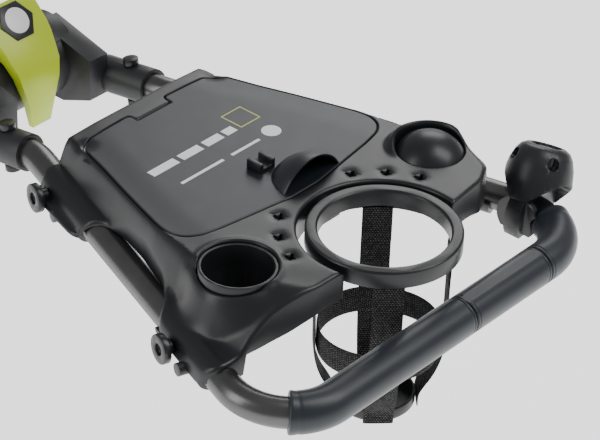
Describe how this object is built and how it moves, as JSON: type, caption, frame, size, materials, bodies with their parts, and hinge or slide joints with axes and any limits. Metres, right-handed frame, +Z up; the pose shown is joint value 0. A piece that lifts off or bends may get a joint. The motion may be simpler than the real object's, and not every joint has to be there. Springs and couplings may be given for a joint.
{
  "type": "push golf trolley",
  "caption": "Three-wheel push golf trolley with folding handle, storage console, drink basket, umbrella holder, bag cradles and foot brake.",
  "frame": {"origin": "centre of the footprint's bounding box, on the ground", "axes": "+Z up, front wheel towards -Y, user and handle at +Y, user's left at +X"},
  "size_m": [0.648, 1.1408, 1.013],
  "materials": {
    "graphite_tube": "dark graphite, satin anodised",
    "steel": "zinc-plated, satin",
    "grip_rubber": "slate, soft matte",
    "console_plastic": "charcoal, fine grain, satin",
    "black_plastic": "black, satin moulded",
    "lime_plastic": "lime green, satin",
    "white_plastic": "white, smooth",
    "grey_plastic": "mid grey, satin",
    "webbing": "woven polypropylene webbing",
    "tyre": "black foam rubber, matte",
    "rim_plastic": "dark grey, satin",
    "dark_screw": "black oxide",
    "cable_rubber": "black sheath"
  },
  "bodies": {
    "frame": {"main_tube": "graphite_tube", "hub_core": "black_plastic", "hub_pin": "steel", "lever_pin": "steel", "upper_cradle": "black_plastic", "upper_strap": "webbing", "lower_cradle": "black_plastic", "lower_strap": "webbing", "lower_hub": "black_plastic", "leg_pin": "steel", "front_fork": "black_plastic", "front_axle": "steel"},
    "handle": {"hub_cheek_left": "black_plastic", "hub_cheek_right": "black_plastic", "sleeve_bolts": "dark_screw", "handle_tube": "graphite_tube", "grip_left": "grip_rubber", "grip_sleeve": "grip_rubber", "grip_right": "grip_rubber", "console_top": "console_plastic", "console_tray": "black_plastic", "tube_clamps": "black_plastic", "clamp_screws": "dark_screw", "lid_hinge_pin": "steel", "cup_insert": "black_plastic", "ball_dome": "console_plastic", "drink_ring": "console_plastic", "basket_straps": "webbing", "basket_hoop": "webbing", "basket_base": "black_plastic", "umbrella_bracket": "black_plastic"},
    "umbrella_holder": {"umbrella_socket": "black_plastic", "umbrella_petals": "grey_plastic"},
    "latch": {"fold_lever": "lime_plastic", "badge_plate": "console_plastic", "badge_disc": "white_plastic"},
    "lid": {"lid": "console_plastic", "pencil_clip": "black_plastic"},
    "rear_frame": {"rear_yoke": "black_plastic", "rear_leg_left": "graphite_tube", "rear_leg_right": "graphite_tube", "rear_axles": "steel", "rear_crossbar": "graphite_tube", "brake_cables": "cable_rubber"},
    "leg_lock": {"leg_lock_lever": "lime_plastic"},
    "brake_pedal": {"brake_pedal": "lime_plastic"},
    "brake_pin_left": {"brake_pin_left": "steel"},
    "brake_pin_right": {"brake_pin_right": "steel"},
    "wheel_left": {"rim_left": "rim_plastic", "tyre_left": "tyre", "bearings_left": "steel", "cap_left": "lime_plastic"},
    "wheel_right": {"rim_right": "rim_plastic", "tyre_right": "tyre", "bearings_right": "steel", "cap_right": "lime_plastic"},
    "wheel_front": {"rim_front": "rim_plastic", "tyre_front": "tyre", "bearings_front": "steel"}
  },
  "joints": [
    {"name": "handle_fold", "type": "hinge", "parent": "frame", "child": "handle", "pos_m": [0, 0.0473, 0.94], "axis": [1, 0, 0], "range_deg": [-30, 180]},
    {"name": "latch_open", "type": "hinge", "parent": "frame", "child": "latch", "pos_m": [0, 0.0243, 0.977], "axis": [1, 0, 0], "range_deg": [0, 60]},
    {"name": "lid_open", "type": "hinge", "parent": "handle", "child": "lid", "pos_m": [0, 0.2293, 0.976], "axis": [1, 0, 0], "range_deg": [0, 90]},
    {"name": "umbrella_tilt", "type": "hinge", "parent": "handle", "child": "umbrella_holder", "pos_m": [-0.18303, 0.49823, 0.91926], "axis": [0.0819, -0.9947, 0.0626], "range_deg": [-25, 25]},
    {"name": "wheel_left_spin", "type": "hinge", "parent": "rear_frame", "child": "wheel_left", "pos_m": [0.302, 0.15, 0.145], "axis": [1, 0, 0], "continuous": true},
    {"name": "wheel_right_spin", "type": "hinge", "parent": "rear_frame", "child": "wheel_right", "pos_m": [-0.302, 0.15, 0.145], "axis": [1, 0, 0], "continuous": true},
    {"name": "wheel_front_spin", "type": "hinge", "parent": "frame", "child": "wheel_front", "pos_m": [0, -0.45245, 0.118], "axis": [1, 0, 0], "continuous": true},
    {"name": "rear_frame_fold", "type": "hinge", "parent": "frame", "child": "rear_frame", "pos_m": [0, -0.20073, 0.43617], "axis": [1, 0, 0], "range_deg": [0, 95]},
    {"name": "leg_lock", "type": "hinge", "parent": "frame", "child": "leg_lock", "pos_m": [0, -0.20073, 0.43617], "axis": [1, 0, 0], "range_deg": [-80, 0]},
    {"name": "brake_press", "type": "hinge", "parent": "rear_frame", "child": "brake_pedal", "pos_m": [0, 0.05317, 0.22538], "axis": [-1, 0, 0], "range_deg": [0, 20]},
    {"name": "brake_pin_left_slide", "type": "slide", "parent": "rear_frame", "child": "brake_pin_left", "axis": [1, 0, 0], "range_m": [0, 0.005]},
    {"name": "brake_pin_right_slide", "type": "slide", "parent": "rear_frame", "child": "brake_pin_right", "axis": [-1, 0, 0], "range_m": [0, 0.005]}
  ],
  "couplings": [
    {"joint": "brake_pin_left_slide", "follows": "brake_press", "m_per_rad": 0.01431},
    {"joint": "brake_pin_right_slide", "follows": "brake_press", "m_per_rad": 0.01431}
  ]
}
